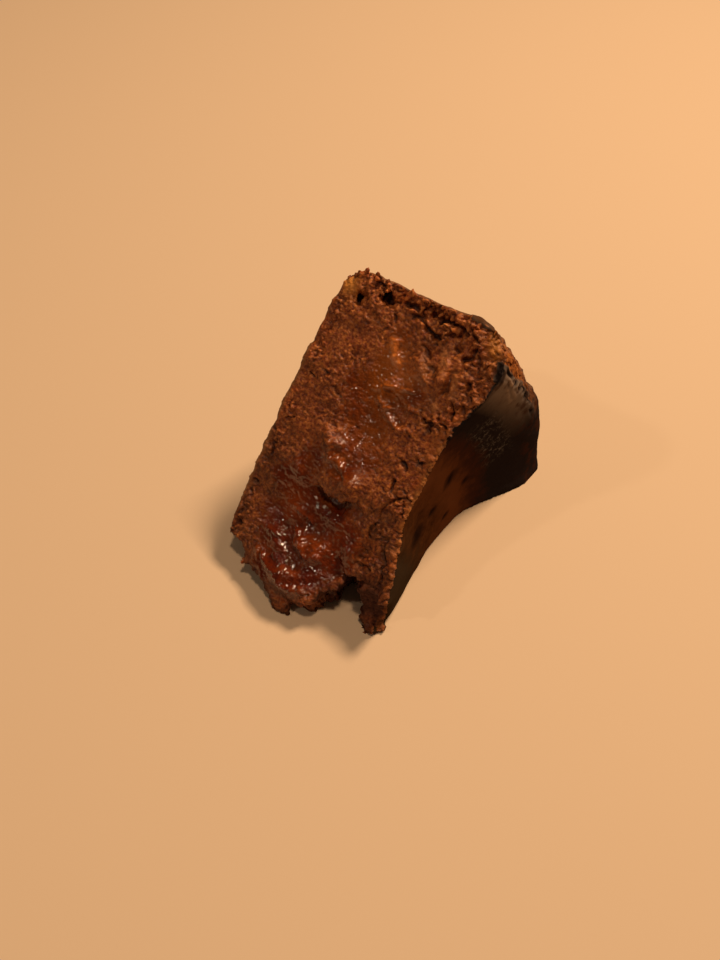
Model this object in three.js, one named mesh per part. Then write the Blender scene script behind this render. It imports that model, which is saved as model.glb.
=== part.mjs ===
// A slice of chocolate Basque cheesecake, lying on one of its two cut faces.
//
// The slice is a sector of a round cake with a burnt skin, a raised rim and a sunken middle. Its
// thin end is torn: a soft tongue runs down from the middle of the cake, beside a wedge of crust.
//
// Places in the cake are given in cake coordinates, in millimetres:
//   h      height above the cake's base,
//   r      distance from the cake's axis,
//   level  0 at the lower cut face, 1 at the upper cut face.
// The cake's base faces -X, its burnt skin faces +X, and its outer wall is at the far end in +Y.
// The lower cut face lies flat on Z = 0, and the upper cut face slopes up from the cake's axis.

import * as THREE from 'three';

const { lerp, smoothstep, degToRad } = THREE.MathUtils;

// ---- The cake ----
const CAKE_RADIUS = 100.5;
const RIM_FLARE = 2;
const SLICE_ANGLE = degToRad(49.5);
const SUNK_HEIGHT = 48;
const RIM_ROUND = 8;
const BASE_ROUND = 9;
const BASE_BOW = 1.6;

// The skin at each cut: how far the rim and the tip stand above the sunken middle.
const LOWER_SKIN = { rimRise: 11, rimStart: 60, tipRise: 4 };
const UPPER_SKIN = { rimRise: 5, rimStart: 66, tipRise: 7 };
const RIM_TOP = 92;
const TIP_START = 17;
const TIP_END = 51;

// ---- The torn end, from the cake's base to its skin ----
// Each station has its place on the edge of the upper cut and its place on the ground, as [h, r].
const TORN_END = [
  { cut: [0.8, 13], foot: [1.5, 19] },
  { cut: [4.5, 12.4], foot: [6, 18] },
  { cut: [8.6, 11], foot: [9, 16] },
  { cut: [9.2, 7.2], foot: [11, 12.5] },
  { cut: [13, 8], foot: [14, 10.5] },
  { cut: [19, 6.7], foot: [18.5, 7.5] },
  { cut: [21.8, 2.4], foot: [21.5, 0.9] },
  { cut: [25.5, 2.6], foot: [25, 0.6] },
  { cut: [28.7, 6.6], foot: [27.3, 6.2] },
  { cut: [32.5, 7], foot: [31.5, 6.2] },
  { cut: [35.6, 10.8], foot: [33, 10.8] },
  { cut: [36, 14.3], foot: [33, 14.6] },
  { cut: [39.5, 17], foot: [36.5, 15.9] },
  { cut: [41, 22.5], foot: [37, 22] },
  { cut: [42.3, 24], foot: [42, 24.5] },
  { cut: [42.7, 22.8], foot: [46, 18] },
  { cut: [43.4, 21.2], foot: [50.2, 10.8] },
  { cut: [49, 22.6], foot: [51.8, 13] },
];
const SKIN_CORNER_R = { cut: 21.5, foot: 17 };

// ---- The upper cut face ----
// Soft forms on it: centre [h, r], half sizes [across, along] and how far they stand proud.
const SOFT_FORMS = [
  { at: [25, 70], size: [9, 20], proud: -1.6 },
  { at: [27, 47], size: [11, 4], proud: 1.3 },
  { at: [26, 39], size: [6, 2.4], proud: -2.2 },
  { at: [20, 54], size: [7, 2.5], proud: 1.2 },
  { at: [22, 30], size: [13, 9], proud: -1.3 },
  { at: [26, 24.5], size: [6, 3], proud: 1.2 },
  { at: [25, 12], size: [11, 6], proud: 2.8 },
  { at: [39, 85], size: [3, 4], proud: 0.8 },
  { at: [29, 74], size: [6, 1.8], proud: 0.8 },
];

// Pits where crumb has broken out near the outer wall and at the tear.
const PITS = [
  { at: [7.5, 92], size: [1.8, 1.6], proud: -3.2 },
  { at: [15.5, 96], size: [2.8, 1.5], proud: -3.4 },
  { at: [29, 97.5], size: [4.5, 1.4], proud: -2.8 },
  { at: [38, 95], size: [3.5, 1.5], proud: -2.4 },
  { at: [47, 23.5], size: [4, 1.4], proud: -1.8 },
];

// The split that frees the crust from the soft middle runs along the slice.
const SPLIT = { h: 41.6, from: 24, to: 50, halfWidth: 0.9, depth: 1.6 };

const CRUMB_BAND = { wall: 9, base: 7, skin: 8 };
const CRUMB_SIZE = 2.6;
const CRUMB_RELIEF = 0.9;
const SOFT_RELIEF = 0.5;
const RAGGED_EDGE = 0.6;

// ---- The outer wall, creased by its baking paper ----
const CREASE_SPACING = 17;
const CREASE_DEPTH = 1.3;

// ---- The mesh ----
const CELLS_ACROSS = 36;
const CELLS_ALONG = 60;
const WALL_ROWS = 18;

const cutNormal = new THREE.Vector3(0, -Math.sin(SLICE_ANGLE), Math.cos(SLICE_ANGLE));

// A repeatable random number from 0 to 1 for each whole-numbered place.
function randomAt(i, j, k) {
  let bits = Math.imul(i, 374761393) ^ Math.imul(j, 668265263) ^ Math.imul(k, 1274126177);
  bits = Math.imul(bits ^ (bits >>> 15), 2246822519);
  bits = Math.imul(bits ^ (bits >>> 13), 3266489917);
  return ((bits ^ (bits >>> 16)) >>> 0) / 4294967295;
}

// Smooth noise from -1 to 1, one random value for each unit of space.
function noise(x, y, z) {
  const i = Math.floor(x);
  const j = Math.floor(y);
  const k = Math.floor(z);
  const u = smoothstep(x - i, 0, 1);
  const v = smoothstep(y - j, 0, 1);
  const w = smoothstep(z - k, 0, 1);
  const edge = (dj, dk) => lerp(randomAt(i, j + dj, k + dk), randomAt(i + 1, j + dj, k + dk), u);
  const sheet = (dk) => lerp(edge(0, dk), edge(1, dk), v);
  return 2 * lerp(sheet(0), sheet(1), w) - 1;
}

function bell(distance) {
  return Math.exp(-distance * distance);
}

// ---- The cake's section: base, outer wall, rim and skin ----

function skinHeight(r, level) {
  const towardsCut = Math.sqrt(level);
  const between = (key) => lerp(LOWER_SKIN[key], UPPER_SKIN[key], towardsCut);
  const rim = between('rimRise') * smoothstep(r, between('rimStart'), RIM_TOP);
  const tip = between('tipRise') * (1 - smoothstep(r, TIP_START, TIP_END));
  return SUNK_HEIGHT + rim + tip;
}

// The rim stands out furthest where the upper cut meets it.
function rimRadius(level) {
  return CAKE_RADIUS + RIM_FLARE * smoothstep(level, 0.75, 1);
}

function wallRadius(h, level) {
  return lerp(CAKE_RADIUS, rimRadius(level), smoothstep(h, 12, 42));
}

// The base is a little hollow: it stands lower at its middle radius than at its edge.
function baseHeight(r) {
  return BASE_BOW * ((2 * r / CAKE_RADIUS - 1) ** 2 - 0.4);
}

// The rounded rim, from the skin (angle 0) to the outer wall (a quarter turn).
function rimPoint(angle, level) {
  const centre = rimRadius(level) - RIM_ROUND;
  const h = skinHeight(centre, level) - RIM_ROUND * (1 - Math.cos(angle));
  return { h, r: centre + RIM_ROUND * Math.sin(angle) };
}

// The rounded edge between the base (angle 0) and the outer wall (a quarter turn).
function baseEdgePoint(angle) {
  const r = CAKE_RADIUS - BASE_ROUND * (1 - Math.sin(angle));
  return { h: baseHeight(r) + BASE_ROUND * (1 - Math.cos(angle)), r };
}

// ---- The four sides of a level, each from 0 to 1 along its length ----

const stations = [...TORN_END, {
  cut: [skinHeight(SKIN_CORNER_R.cut, 1), SKIN_CORNER_R.cut],
  foot: [skinHeight(SKIN_CORNER_R.foot, 0), SKIN_CORNER_R.foot],
}];

function tornSide(fraction, level) {
  const place = fraction * (stations.length - 1);
  const index = Math.min(Math.floor(place), stations.length - 2);
  const [before, after] = stations.slice(index, index + 2);
  const between = (edge, axis) => lerp(before[edge][axis], after[edge][axis], place - index);
  return {
    h: lerp(between('foot', 0), between('cut', 0), level),
    r: lerp(between('foot', 1), between('cut', 1), level),
  };
}

function baseSide(fraction, level) {
  const start = tornSide(0, level);
  const straight = CAKE_RADIUS - BASE_ROUND - start.r;
  const walked = fraction * (straight + BASE_ROUND * Math.PI / 4);
  if (walked > straight) {
    return baseEdgePoint((walked - straight) / BASE_ROUND);
  }
  const r = start.r + walked;
  return { h: lerp(start.h, baseHeight(r), Math.min(walked / BASE_ROUND, 1)), r };
}

function skinSide(fraction, level) {
  const start = tornSide(1, level).r;
  const straight = rimRadius(level) - RIM_ROUND - start;
  const walked = fraction * (straight + RIM_ROUND * Math.PI / 4);
  if (walked > straight) {
    return rimPoint((walked - straight) / RIM_ROUND, level);
  }
  return { h: skinHeight(start + walked, level), r: start + walked };
}

function wallSide(fraction, level) {
  const lowArc = BASE_ROUND * Math.PI / 4;
  const highArc = RIM_ROUND * Math.PI / 4;
  const top = rimPoint(Math.PI / 2, level).h;
  const bottom = baseEdgePoint(Math.PI / 2).h;
  const straight = top - bottom;
  const walked = fraction * (lowArc + straight + highArc);
  if (walked < lowArc) {
    return baseEdgePoint(Math.PI / 4 + walked / BASE_ROUND);
  }
  if (walked > lowArc + straight) {
    return rimPoint(Math.PI / 2 - (walked - lowArc - straight) / RIM_ROUND, level);
  }
  const h = bottom + walked - lowArc;
  return { h, r: wallRadius(h, level) };
}

// A place inside a level, blended from its four sides.
function levelPoint(across, along, level) {
  const front = tornSide(across, level);
  const back = wallSide(across, level);
  const base = baseSide(along, level);
  const skin = skinSide(along, level);
  const blend = (key) => {
    const corners = lerp(
      lerp(tornSide(0, level)[key], tornSide(1, level)[key], across),
      lerp(wallSide(0, level)[key], wallSide(1, level)[key], across),
      along,
    );
    return lerp(front[key], back[key], along) + lerp(base[key], skin[key], across) - corners;
  };
  return { h: blend('h'), r: blend('r') };
}

// ---- Relief ----

// How dry and crumbly the cut is: 1 at the wall, base and skin, 0 in the soft middle.
function dryness(h, r) {
  const wall = 1 - smoothstep(CAKE_RADIUS - r, 0.4 * CRUMB_BAND.wall, CRUMB_BAND.wall);
  const base = 1 - smoothstep(h, 0.3 * CRUMB_BAND.base, CRUMB_BAND.base);
  const skin = 1 - smoothstep(skinHeight(r, 1) - h, 0.3 * CRUMB_BAND.skin, CRUMB_BAND.skin);
  return Math.max(wall, base, skin);
}

function formRelief(forms, h, r) {
  let proud = 0;
  for (const form of forms) {
    const distance = Math.hypot((h - form.at[0]) / form.size[0], (r - form.at[1]) / form.size[1]);
    proud += form.proud * bell(distance);
  }
  return proud;
}

function splitRelief(h, r) {
  const alongside = smoothstep(r, SPLIT.from, SPLIT.from + 4) * (1 - smoothstep(r, SPLIT.to - 8, SPLIT.to));
  return -SPLIT.depth * bell((h - SPLIT.h) / SPLIT.halfWidth) * alongside;
}

// How far the upper cut face stands proud of its flat plane.
function cutRelief(h, r) {
  const dry = dryness(h, r);
  const crumb = CRUMB_RELIEF * dry * noise(h / CRUMB_SIZE, r / CRUMB_SIZE, 3.5);
  const soft = SOFT_RELIEF * noise(h / 9, r / 6, 8.5);
  return crumb + soft + formRelief(SOFT_FORMS, h, r) + formRelief(PITS, h, r) + splitRelief(h, r);
}

// Crumb breaks the outline near the upper cut. Elsewhere the surface is only a little uneven.
function raggedOutline(point, level) {
  const nearCut = smoothstep(level, 0.8, 1);
  const amount = RAGGED_EDGE * lerp(0.4, 1, nearCut);
  const x = point.h / CRUMB_SIZE;
  const y = point.r / CRUMB_SIZE;
  const z = level * 12;
  const h = point.h + amount * noise(x, y, z + 20);
  const r = point.r + amount * noise(x, y, z + 50);
  return { h, r: Math.max(r, 0) };
}

// The baking paper pressed shallow upright creases into the outer wall.
function creasedRadius(h, r, level) {
  const aroundWall = level * SLICE_ANGLE * CAKE_RADIUS;
  const nearWall = smoothstep(r, CAKE_RADIUS - 8, CAKE_RADIUS);
  const fold = 1 - Math.abs(noise(aroundWall / CREASE_SPACING, h / 60, 31.5));
  return r - CREASE_DEPTH * nearWall * fold * fold;
}

// ---- The closed surface ----

// The slice's rim walk: every place round a level, as [side, fraction], without repeats.
function outlineWalk() {
  const walk = [];
  for (let i = 0; i < CELLS_ACROSS; i += 1) walk.push([tornSide, i / CELLS_ACROSS]);
  for (let j = 0; j < CELLS_ALONG; j += 1) walk.push([skinSide, j / CELLS_ALONG]);
  for (let i = CELLS_ACROSS; i > 0; i -= 1) walk.push([wallSide, i / CELLS_ACROSS]);
  for (let j = CELLS_ALONG; j > 0; j -= 1) walk.push([baseSide, j / CELLS_ALONG]);
  return walk;
}

function place(h, r, level) {
  const turn = level * SLICE_ANGLE;
  return new THREE.Vector3(h, r * Math.cos(turn), r * Math.sin(turn));
}

function cutPoint(across, along) {
  const { h, r } = raggedOutline(levelPoint(across, along, 1), 1);
  return place(h, creasedRadius(h, r, 1), 1).addScaledVector(cutNormal, cutRelief(h, r));
}

function sidePoint(side, fraction, level) {
  const { h, r } = raggedOutline(side(fraction, level), level);
  const top = side(fraction, 1);
  const lift = cutRelief(top.h, top.r) * smoothstep(level, 0.5, 1);
  return place(h, creasedRadius(h, r, level), level).addScaledVector(cutNormal, lift);
}

// Collects vertices and triangles.
class Surface {
  constructor() {
    this.points = [];
    this.triangles = [];
  }

  add(point) {
    this.points.push(point);
    return this.points.length - 1;
  }

  // Two triangles, split along the shorter diagonal.
  quad(a, b, c, d) {
    const p = this.points;
    if (p[a].distanceTo(p[c]) <= p[b].distanceTo(p[d])) {
      this.triangles.push([a, b, c], [a, c, d]);
    } else {
      this.triangles.push([a, b, d], [b, c, d]);
    }
  }

  geometry() {
    const geometry = new THREE.BufferGeometry();
    geometry.setFromPoints(this.points);
    geometry.setIndex(this.triangles.flat());
    geometry.computeVertexNormals();
    return geometry;
  }
}

// The upper cut face, as a grid. Returns the indexes of its outline, in walking order.
function addUpperCut(surface) {
  const grid = [];
  for (let j = 0; j <= CELLS_ALONG; j += 1) {
    const row = [];
    for (let i = 0; i <= CELLS_ACROSS; i += 1) {
      row.push(surface.add(cutPoint(i / CELLS_ACROSS, j / CELLS_ALONG)));
    }
    grid.push(row);
  }
  for (let j = 0; j < CELLS_ALONG; j += 1) {
    for (let i = 0; i < CELLS_ACROSS; i += 1) {
      surface.quad(grid[j][i], grid[j][i + 1], grid[j + 1][i + 1], grid[j + 1][i]);
    }
  }
  const outline = [];
  for (let i = 0; i < CELLS_ACROSS; i += 1) outline.push(grid[0][i]);
  for (let j = 0; j < CELLS_ALONG; j += 1) outline.push(grid[j][CELLS_ACROSS]);
  for (let i = CELLS_ACROSS; i > 0; i -= 1) outline.push(grid[CELLS_ALONG][i]);
  for (let j = CELLS_ALONG; j > 0; j -= 1) outline.push(grid[j][0]);
  return outline;
}

// The sides below it. The torn end keeps every place of the walk, the other sides every second one.
function addSides(surface, outline) {
  const walk = outlineWalk();
  const kept = walk.map((_, index) => index).filter((index) => index < CELLS_ACROSS || index % 2 === 0);
  const count = kept.length;
  const rows = [];
  for (let row = 0; row < WALL_ROWS; row += 1) {
    rows.push(kept.map((index) => surface.add(sidePoint(...walk[index], row / WALL_ROWS))));
  }
  for (let row = 0; row + 1 < WALL_ROWS; row += 1) {
    for (let i = 0; i < count; i += 1) {
      const next = (i + 1) % count;
      surface.quad(rows[row][i], rows[row][next], rows[row + 1][next], rows[row + 1][i]);
    }
  }
  const top = rows[WALL_ROWS - 1];
  for (let i = 0; i < count; i += 1) {
    const next = (i + 1) % count;
    const from = kept[i];
    const to = next === 0 ? walk.length : kept[next];
    surface.triangles.push([top[i], top[next], outline[to % walk.length]]);
    for (let k = from; k < to; k += 1) {
      surface.triangles.push([top[i], outline[(k + 1) % walk.length], outline[k]]);
    }
  }
  return rows[0];
}

// The lower cut face, flat on the ground.
function addLowerCut(surface, outline) {
  const flat = outline.map((index) => new THREE.Vector2(surface.points[index].x, surface.points[index].y));
  for (const [a, b, c] of THREE.ShapeUtils.triangulateShape(flat, [])) {
    surface.triangles.push([outline[a], outline[c], outline[b]]);
  }
}

function makeSlice() {
  const surface = new Surface();
  const upperOutline = addUpperCut(surface);
  const lowerOutline = addSides(surface, upperOutline);
  addLowerCut(surface, lowerOutline);
  return surface.geometry();
}

// Stands the slice over the origin, with the middle of its box on the Z axis.
function centreOverOrigin(geometry) {
  geometry.computeBoundingBox();
  const { min, max } = geometry.boundingBox;
  return geometry.translate(-(min.x + max.x) / 2, -(min.y + max.y) / 2, -min.z);
}

const slice = new THREE.Mesh(
  centreOverOrigin(makeSlice()),
  new THREE.MeshStandardMaterial({ color: 0x5a2a14, roughness: 0.6, metalness: 0 }),
);
slice.name = 'cheesecake_slice';

const part = new THREE.Group();
part.add(slice);

export default part;
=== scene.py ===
"""A slice of chocolate Basque cheesecake on a pale floor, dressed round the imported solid.

The solid is remeshed finely. Named forms, such as the torn ledge, the wet pools and the pits, and
seeded noise then give it crumb, gloss and a burnt skin, and small crumbs stand on its edges. Lengths
are in millimetres until a mesh or a light is made, because the relief is that small.
"""

import math

import bmesh
import bpy
import numpy as np
from mathutils import Matrix, Vector, noise

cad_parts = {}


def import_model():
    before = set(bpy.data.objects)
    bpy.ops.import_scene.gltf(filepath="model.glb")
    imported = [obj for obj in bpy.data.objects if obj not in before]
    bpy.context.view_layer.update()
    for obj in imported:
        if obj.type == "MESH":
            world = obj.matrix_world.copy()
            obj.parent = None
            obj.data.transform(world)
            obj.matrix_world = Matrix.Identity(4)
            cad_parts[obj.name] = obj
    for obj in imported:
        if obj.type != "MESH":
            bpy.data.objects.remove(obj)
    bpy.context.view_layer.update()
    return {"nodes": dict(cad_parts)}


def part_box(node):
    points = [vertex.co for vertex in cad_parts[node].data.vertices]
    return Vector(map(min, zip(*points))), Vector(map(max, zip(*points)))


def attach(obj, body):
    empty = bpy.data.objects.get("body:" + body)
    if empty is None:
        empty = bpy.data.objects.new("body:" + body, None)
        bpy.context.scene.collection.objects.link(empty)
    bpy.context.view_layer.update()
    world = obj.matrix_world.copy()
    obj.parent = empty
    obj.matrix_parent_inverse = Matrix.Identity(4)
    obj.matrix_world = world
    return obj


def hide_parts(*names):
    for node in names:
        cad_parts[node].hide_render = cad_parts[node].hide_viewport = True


MM = 0.001
NODE = "cheesecake_slice"

# ---- The cake, in its own coordinates: h above its base, r from its axis, angles from the floor ----
SLICE_ANGLE = math.radians(49.5)
CAKE_RADIUS = 100.5
RIM_FLARE = 2.0
SUNK_HEIGHT = 48.0
# At the lower and the upper cut: the skin's rise at the rim, where that starts, and its rise at the tip.
LOWER_SKIN = (11.0, 60.0, 4.0)
UPPER_SKIN = (5.0, 66.0, 7.0)
RIM_TOP = 92.0
TIP_START = 17.0
TIP_END = 51.0
BASE_BULGE = 1.02       # how far the base stands out below h = 0
TIP_INSET = 0.44        # how far the tip's end is from the cake's axis

# ---- The camera, as in the photograph: where it is and where it looks ----
CAMERA_AT = (86.2, -139.9, 235.0)
CAMERA_YAW = math.radians(34.73)
CAMERA_PITCH = math.radians(53.36)
CAMERA_ROLL = math.radians(3.88)
CAMERA_LENS = 33.75

# ---- The fine mesh: the cut, the torn end and the rim near them get faces of half the size ----
VOXEL = 0.75
FINE_RIM = {"r": 87.0, "level": 0.38, "h": 44.0}

# Feet of the torn tongue, joined to the solid: h, y, z, and half sizes along them.
FEET = (
    ((26, 3.2, 2), (3.7, 2.3, 2.6)), ((32.4, 9.6, 2.6), (3.2, 3, 3.5)), ((35.4, 14.8, 1.6), (2, 2, 2.2)),
    ((48.2, 15.6, 2.6), (2.6, 2.4, 3.4)), ((51.4, 13.4, 1.4), (1.8, 1.9, 1.8)),
    ((53.6, 15.6, 0.9), (1.3, 1.2, 1.1)),
)
# The torn end's line on the floor, where the tongue is tucked in between its feet.
FOOT_H = (6, 9, 11, 14, 18.5, 21.5, 25, 27.3, 31.5, 33, 36.5, 37)
FOOT_Y = (18, 16, 12.5, 10.5, 7.5, 0.9, 0.6, 6.2, 6.2, 10.8, 15.9, 22)
TUCK = 2.6

# ---- The forms of the upper cut, as (h, r) along it. Radii, widths and heights in mm ----
# Wet pools, as chains of discs: h, r, radius.
UPPER_POOL = ((23, 87, 3.5), (24, 81, 5), (26, 76, 8), (31, 76, 7), (24, 70, 10), (24, 65, 8),
              (26, 60, 7.5), (28, 55, 7), (25, 51, 6))
LOWER_POOL = ((15, 46, 5), (13, 38, 7), (20, 31, 10), (29, 32, 9), (35, 32, 6), (16, 24, 9),
              (27, 21, 11), (35, 25, 6), (20, 13, 9), (29, 11, 8))

# The torn ledge: above this line the cut stands proud, below it it is hollow.
LEDGE_H = (17, 21, 25, 29, 31, 34, 39)
LEDGE_R = (42.5, 41.2, 41, 40.6, 41.6, 43.5, 44.5)
LEDGE_RISE = 1.1
LEDGE_DROP = 1.3
LEDGE_OVERHANG = 1.1

# Raised lips and bumps: points, half width, height.
RIDGES = (
    (((17, 56), (18.7, 53.3), (20, 51), (22, 49.6), (24.8, 49.2)), 1.3, 1.4),
    (((16.6, 54.6), (17.4, 51.6)), 0.7, 0.8), (((19.3, 54.2), (21.5, 54.8)), 0.9, 1),
    (((28, 69), (31, 67.6), (33.5, 66.2), (36.5, 66.6), (38, 68)), 1, 1),
    (((34.6, 72.6), (37.2, 72.4)), 0.9, 1.2), (((24.6, 70.7), (27, 70.6), (29.6, 70)), 0.9, 1.2),
    (((25, 74.4), (26.4, 74.8), (28, 76)), 0.6, 0.9),
    (((30.4, 76.4), (31.8, 76.6), (33.4, 77.4)), 0.6, 0.8), (((28.6, 46.6), (31, 46)), 1.9, 1.6),
    (((12.8, 21.4), (15, 20.4), (17.4, 19.8)), 1.6, 0.9), (((21, 25.6), (22.4, 22.6)), 0.8, 1.2),
    (((24, 23.4), (25.4, 21.4), (28, 20.8), (30, 22.4)), 1.4, 1.7), (((17, 31.4), (20.2, 30.4)), 0.8, 1),
    (((22.3, 30.6), (23.6, 30)), 1, 1), (((15.5, 13.8), (17.6, 12.8), (21.6, 11.4)), 0.9, 1.2),
    (((23.6, 12), (26, 11), (28.4, 10.4)), 1.9, 2), (((31.4, 11.6), (33.6, 10.6)), 1.3, 1.4),
    (((37.4, 28.6), (37, 25.6)), 0.9, 0.8), (((12.4, 13.6), (13.2, 12.4)), 1, 0.8),
    (((11.8, 43), (14.5, 40)), 1.2, 0.7), (((35, 42.6), (37, 42.2)), 0.9, 0.9),
    (((22.8, 95), (27, 94.4)), 1, 0.8), (((33.6, 96.9), (36.6, 96.6)), 1, 1),
    (((22.2, 85.6), (23.2, 82.8)), 1.1, 1), (((25, 83.4), (25.6, 81.6)), 1, 0.9),
    (((30.6, 85), (33, 82.6), (36.4, 81)), 1.3, 1.3), (((38.4, 88), (38.8, 84)), 1, 1),
    (((43.4, 86), (44, 81)), 1, 1), (((51.4, 45), (51.6, 36), (52.2, 28), (52.8, 22)), 0.7, 1),
    (((51, 62), (50.6, 54), (51, 46)), 0.8, 0.7),
)

# Soft hollows: points, half width, depth.
DIPS = (
    (((21, 39.4), (25, 38.4), (29.5, 37.6)), 2, 0.9), (((31.5, 40.6), (35, 41.4), (38, 42.4)), 1.3, 0.9),
    (((23.5, 47.6), (26.5, 46.4)), 1.4, 0.8), (((18, 24.4), (22, 19.6), (26, 16.4)), 2, 0.8),
    (((22, 27.8), (27, 28)), 1.8, 0.6), (((26.2, 73), (31, 72.4)), 1.4, 0.8),
    (((41.4, 87), (41.2, 80)), 0.9, 1.1), (((36.2, 25), (38.4, 21.4)), 1.7, 1.4),
    (((46.6, 45), (46.4, 34)), 1.8, 0.4),
)

# Pits and cracks, with painted shade inside: points, half width, depth.
PITS = (
    (((6.8, 92), (7.2, 91)), 0.6, 2.2), (((13, 96), (14.2, 95.4), (15.4, 95)), 0.6, 2),
    (((11.2, 98.4), (12.6, 97.2)), 0.7, 1.3), (((20.6, 97.4), (23.4, 96.6)), 0.9, 1.7),
    (((23.8, 94.2), (26, 95)), 0.8, 1.6), (((27.6, 94.4), (30.4, 93.2), (33.2, 92)), 0.7, 1.8),
    (((31.4, 96.9), (34, 97.6)), 0.6, 1.3), (((35.4, 98), (37.6, 96.8), (39.4, 96.9)), 0.9, 1.9),
    (((41, 98.2), (42.6, 97)), 0.7, 1.4), (((38, 92.6), (39.6, 92)), 0.8, 1.5),
    (((43.6, 94), (42.6, 92), (42.2, 90.6)), 0.6, 1.6), (((45.4, 93), (46.4, 90.4)), 0.5, 1.2),
    (((18.4, 92.8), (19.8, 91.6)), 0.6, 1), (((30.4, 88.6), (32.4, 87.4)), 0.6, 0.9),
    (((33.2, 84.6), (35.4, 84.6)), 0.6, 0.9), (((46.4, 86.2), (47.2, 84.6)), 0.6, 1.2),
    (((44.8, 79.6), (46.2, 78)), 0.6, 1.2), (((48, 80.6), (48.8, 79.2)), 0.6, 1.1),
    (((2.8, 53.2), (5.2, 53.4)), 0.5, 0.8), (((0.9, 48.6), (1.7, 48)), 0.7, 1.2),
    (((2.2, 43.4), (2.8, 41.4)), 0.7, 1.2), (((2.2, 31.2), (3.2, 30.6)), 0.6, 1.1),
    (((2.6, 17.6), (3.8, 16.8)), 0.9, 1.5), (((7, 70.2), (9.3, 69.8)), 0.5, 0.8),
    (((3, 67), (5, 66.4)), 0.5, 0.8), (((12, 66.8), (15.2, 65.8)), 0.5, 0.8),
    (((22.6, 61), (23.4, 60.6)), 0.6, 0.6), (((39.3, 72.2), (41.4, 72.1), (42.4, 70.6)), 0.6, 1.3),
    (((45.2, 74.4), (46, 74.2)), 0.6, 1.1), (((46, 77.2), (46.6, 76.6)), 0.6, 1.1),
    (((36.6, 67.2), (38, 66.9)), 0.5, 0.9), (((39.8, 58.9), (41.2, 58.4)), 0.7, 1.3),
    (((43, 62.4), (44.6, 61)), 0.6, 1.2), (((39.8, 53.4), (40.8, 52.2)), 0.6, 1.2),
    (((47.2, 51.8), (45.2, 52), (43.4, 50.4), (41.8, 48.4)), 0.34, 1.1),
    (((41.8, 48.4), (40.6, 45), (41.2, 42), (40.2, 39), (41.6, 36)), 0.26, 0.8),
    (((45.6, 50.6), (47, 46)), 0.4, 0.9), (((46.8, 38.4), (47.4, 34), (49, 30), (49.4, 26)), 0.45, 1),
    (((42.2, 27), (44.2, 28.2), (46, 27.8)), 0.35, 0.8), (((50.6, 45.6), (50.8, 41), (51, 38)), 0.45, 1),
    (((39.8, 21.4), (41.8, 22.6), (44.8, 22.2)), 0.8, 1.2),
)

# Patches on the cut: h, r, half length, half width and strength. They lean by PATCH_TILT.
PALE_PATCHES = ((37.4, 88, 3.6, 1.2, 0.9), (42.6, 84.6, 3.8, 1, 0.9), (40.2, 76.6, 1.6, 1.3, 1),
                (34, 84, 2.4, 2.2, 0.5))
# Painted highlights: bright orange patches of the wet upper pool.
HIGHLIGHT_PATCHES = ((22.3, 85.3, 2.1, 1.7, 1), (23.6, 82.9, 1.9, 1.5, 1), (25.3, 82, 2.3, 1.7, 1),
                (26.4, 84.6, 1.5, 1.1, 0.6), (24.6, 83, 5.6, 4.6, 0.5), (28.8, 78.8, 3.6, 4.6, 0.54))
GOLD_PATCHES = ((47.6, 97.6, 4.4, 2, 1), (45.6, 100.2, 2.2, 1.6, 0.7), (3, 94.2, 3, 2.4, 0.9),
                (2.6, 97, 2, 1.8, 0.8))
WARM_PATCHES = ((28, 61, 8, 6, 0.8), (24, 74, 12, 6, 1), (16, 32, 7, 5, 1),
                (28, 25, 4, 7, 1), (33, 63, 6, 5, 1))
PATCH_TILT = math.radians(28.0)

# Where the skin's edge is burnt black on the cut, and the dark hump beyond it.
BURNT_EDGE = ((51.6, 94.6), (52.3, 90.8))
DARK_HUMP = ((39.4, 102.6), (42.6, 103.2), (46, 102.6))
HUMP_RISE = 0.8

# The tooth of crumb beside the torn end, darkened partly as its own dark crumb and partly as painted shade:
# its middle and its size.
TOOTH = {"h": 49.5, "r": 18.0, "size": 8.5}

# Where the skin has chipped off the rim: how much lower the crumb and the burnt notches are.
CHIP_SUNK = 1.5
NOTCH_DEPTH = 0.9

# Places where the wet cut is finely rippled and sparkles.
SPARKLE_PATCHES = ((16.3, 21.5, 1.6, 3.2, 1), (23.9, 24.2, 3, 1.2, 1), (27.9, 23.8, 1.6, 3.6, 1),
                   (22.3, 30.7, 1.2, 1.6, 0.8), (19.6, 31.8, 1, 1.4, 0.7), (20.8, 13, 1.8, 3.4, 1),
                   (26.6, 13.4, 2, 3.6, 1), (33.2, 12.6, 2.2, 1.4, 0.9), (18.6, 54.4, 2, 1, 1),
                   (21.6, 50.6, 1.4, 2.6, 1), (28.8, 46.4, 1.4, 2, 0.9), (25.6, 74.2, 0.9, 2, 1),
                   (32, 76.6, 1, 2.6, 1), (25.7, 69.6, 0.9, 1.8, 0.8), (36, 67, 1.4, 2.2, 0.5))

# Rough crumb on the tips of the torn end.
CRUMB_TIPS = ((33.2, 9.4, 3.2, 3, 1), (25.6, 4, 2.6, 3.4, 0.6), (54.2, 14.6, 1.8, 1.6, 0.9))

# Spots on the skin: r, level, half length along r, half width.
SKIN_SPOTS = ((42, 0.6, 4, 4.8), (50.1, 0.52, 2.6, 3), (60.4, 0.6, 3.6, 3.8), (54.6, 0.22, 1.8, 2.2),
              (65.4, 0.34, 2, 2.4))

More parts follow.
